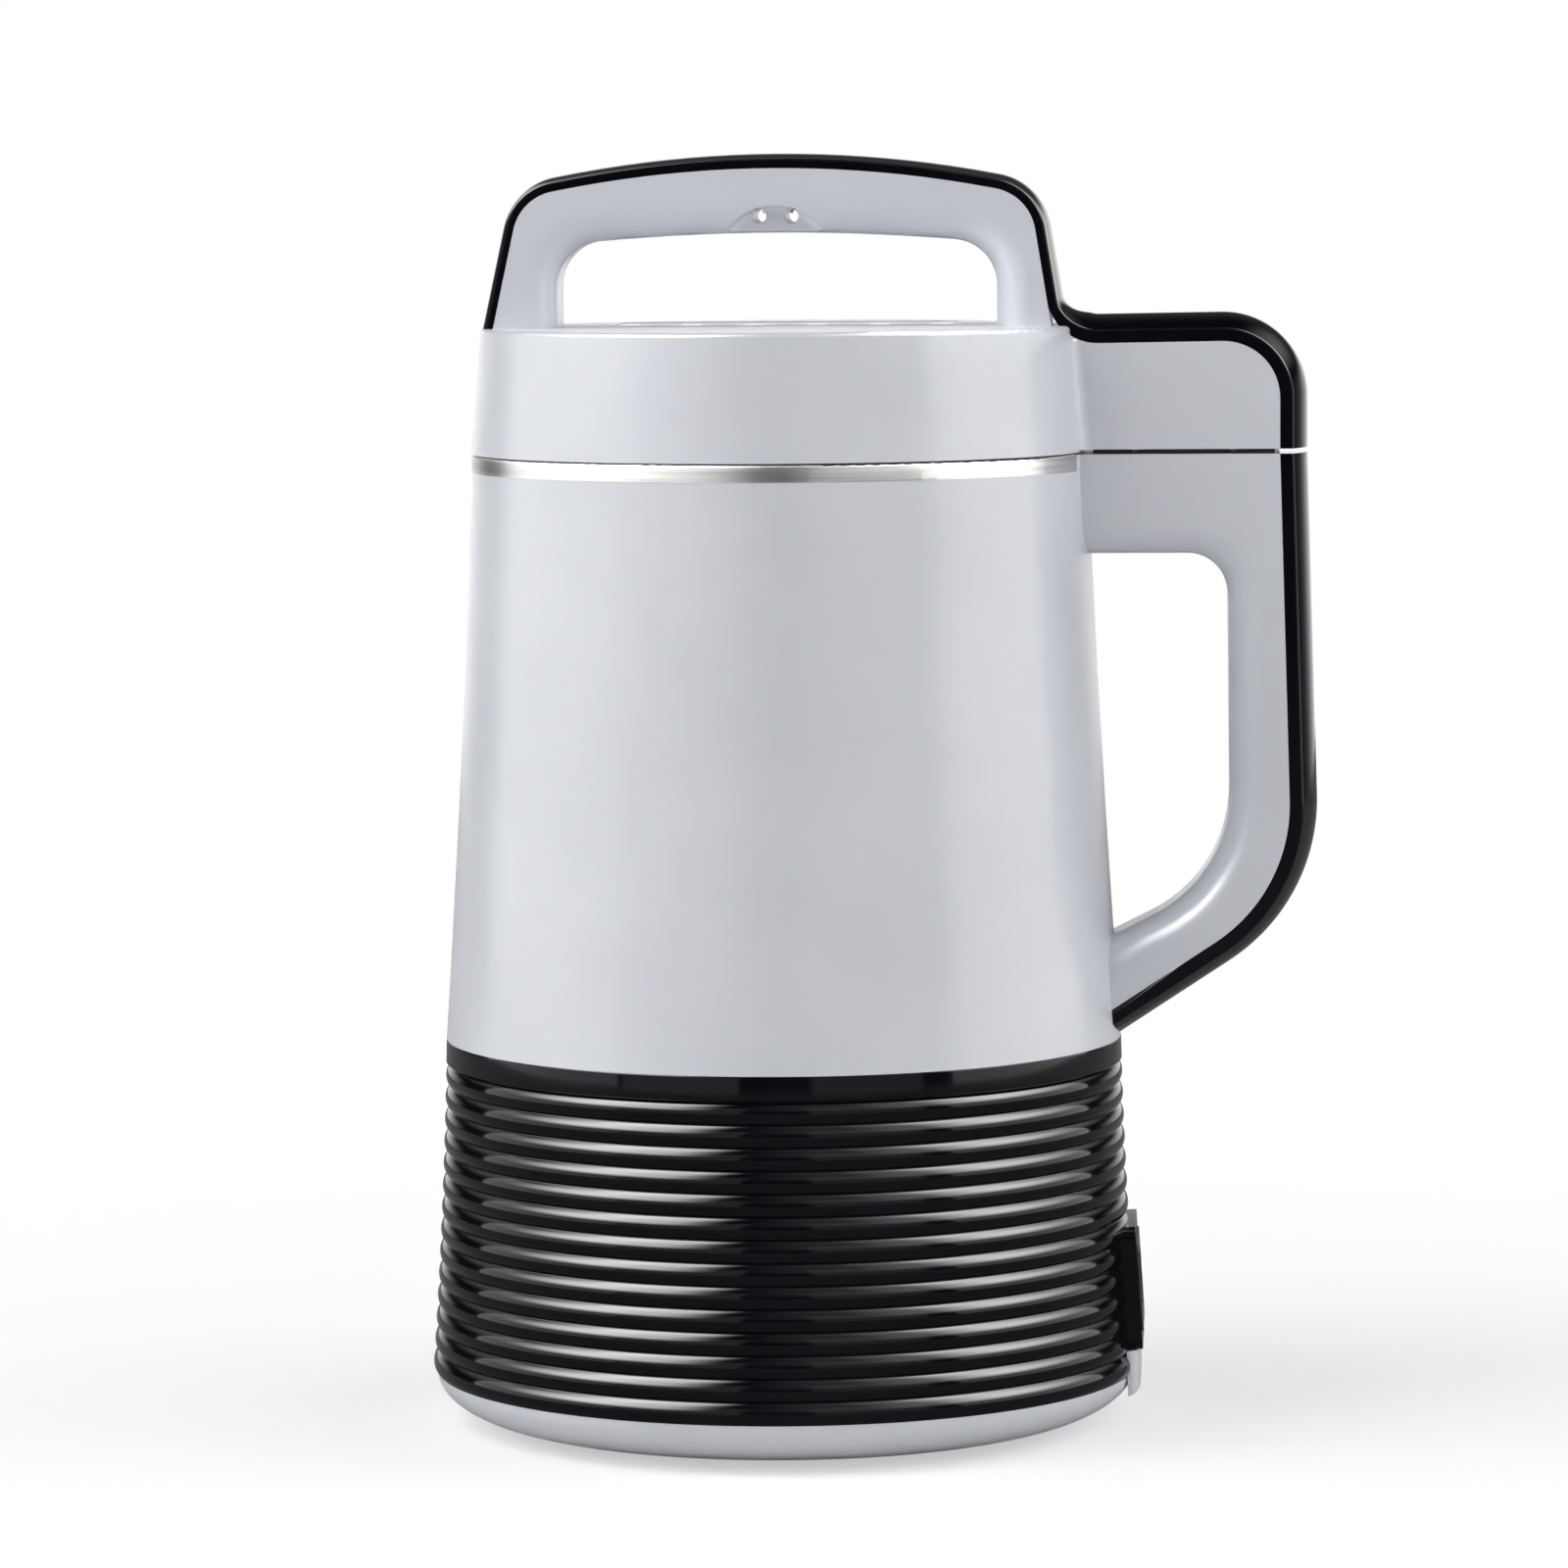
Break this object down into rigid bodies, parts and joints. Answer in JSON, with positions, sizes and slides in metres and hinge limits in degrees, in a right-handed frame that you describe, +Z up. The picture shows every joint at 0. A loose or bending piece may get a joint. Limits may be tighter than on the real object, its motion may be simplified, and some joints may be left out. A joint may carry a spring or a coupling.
{
  "type": "herbal butter infuser",
  "caption": "Heated jug with a steel cup and a side handle, under a lift-off motor head whose long shaft stirs with a small blade.",
  "frame": {"origin": "centre of the foot ring, on the surface that the jug stands on", "axes": "+Z up, +X from the body's axis to the jug handle, +Y to the half of the deck with the buttons"},
  "size_m": [0.2383, 0.1902, 0.34],
  "materials": {
    "grey_plastic": "smooth glossy moulding",
    "black_gloss": "high gloss",
    "black_plastic": "satin",
    "cup_steel": "drawn and brushed",
    "bright_steel": "polished",
    "zinc_steel": "zinc plated",
    "aluminium": "die cast",
    "ceramic": "matt",
    "brass": "plain",
    "copper": "enamelled wire",
    "rubber": "matt",
    "bush": "sintered",
    "fan": "satin",
    "circuit_board": "varnished",
    "fascia_black": "glossy",
    "button_grey": "satin",
    "lamp_red": "translucent"
  },
  "bodies": {
    "jug": {"bottom_cover": "grey_plastic", "foot_ring": "rubber", "base_skirt": "black_gloss", "support_plate": "black_plastic", "base_screws": "zinc_steel", "inlet_socket": "black_plastic", "inlet_pins": "brass", "jug_shell": "grey_plastic", "handle_strip": "black_gloss", "inner_cup": "cup_steel", "cup_floor": "cup_steel", "heater_plate": "aluminium", "heating_element": "bright_steel", "clamp_studs": "zinc_steel", "stud_spacers": "zinc_steel", "clamp_nuts": "zinc_steel", "thermostat": "ceramic", "thermostat_bracket": "zinc_steel", "coupler_socket": "black_plastic", "coupler_contacts": "brass"},
    "head": {"head_housing": "grey_plastic", "arch_handle": "grey_plastic", "arch_screws": "zinc_steel", "head_strip": "black_gloss", "fascia": "fascia_black", "lamp_windows": "lamp_red", "head_base": "black_plastic", "head_gasket": "rubber", "head_screws": "zinc_steel", "motor_bowl": "cup_steel", "temperature_probe": "bright_steel", "level_probe": "bright_steel", "motor_base": "zinc_steel", "motor_bridge": "zinc_steel", "shaft_bearings": "bright_steel", "stator_stack": "zinc_steel", "field_coils": "copper", "motor_bolts": "zinc_steel", "brush_holders": "black_plastic", "sleeve_bush": "bush", "shaft_seal": "rubber", "control_board": "circuit_board", "board_screws": "zinc_steel", "button_switches": "black_plastic", "power_board": "circuit_board", "power_components": "black_plastic", "coupler_plug": "black_plastic", "coupler_pins": "brass"},
    "rotor": {"drive_shaft": "bright_steel", "motor_rotor": "zinc_steel", "commutator": "copper", "cooling_fan": "fan", "blade": "bright_steel", "blade_spacer": "bright_steel", "blade_nut": "bright_steel"},
    "button_1": {"button_1": "button_grey"},
    "button_2": {"button_2": "button_grey"},
    "button_3": {"button_3": "button_grey"},
    "button_4": {"button_4": "button_grey"},
    "button_5": {"button_5": "button_grey"}
  },
  "joints": [
    {"name": "head_lift", "type": "slide", "parent": "jug", "child": "head", "axis": [0, 0, 1], "range_m": [0, 0.18]},
    {"name": "rotor_spin", "type": "hinge", "parent": "head", "child": "rotor", "pos_m": [0, 0, 0], "axis": [0, 0, 1], "continuous": true},
    {"name": "button_1_press", "type": "slide", "parent": "head", "child": "button_1", "axis": [0, 0, -1], "range_m": [0, 0.001], "stiffness_N_per_m": 500, "springref_m": -0.001},
    {"name": "button_2_press", "type": "slide", "parent": "head", "child": "button_2", "axis": [0, 0, -1], "range_m": [0, 0.001], "stiffness_N_per_m": 500, "springref_m": -0.001},
    {"name": "button_3_press", "type": "slide", "parent": "head", "child": "button_3", "axis": [0, 0, -1], "range_m": [0, 0.001], "stiffness_N_per_m": 500, "springref_m": -0.001},
    {"name": "button_4_press", "type": "slide", "parent": "head", "child": "button_4", "axis": [0, 0, -1], "range_m": [0, 0.001], "stiffness_N_per_m": 500, "springref_m": -0.001},
    {"name": "button_5_press", "type": "slide", "parent": "head", "child": "button_5", "axis": [0, 0, -1], "range_m": [0, 0.001], "stiffness_N_per_m": 500, "springref_m": -0.001}
  ]
}
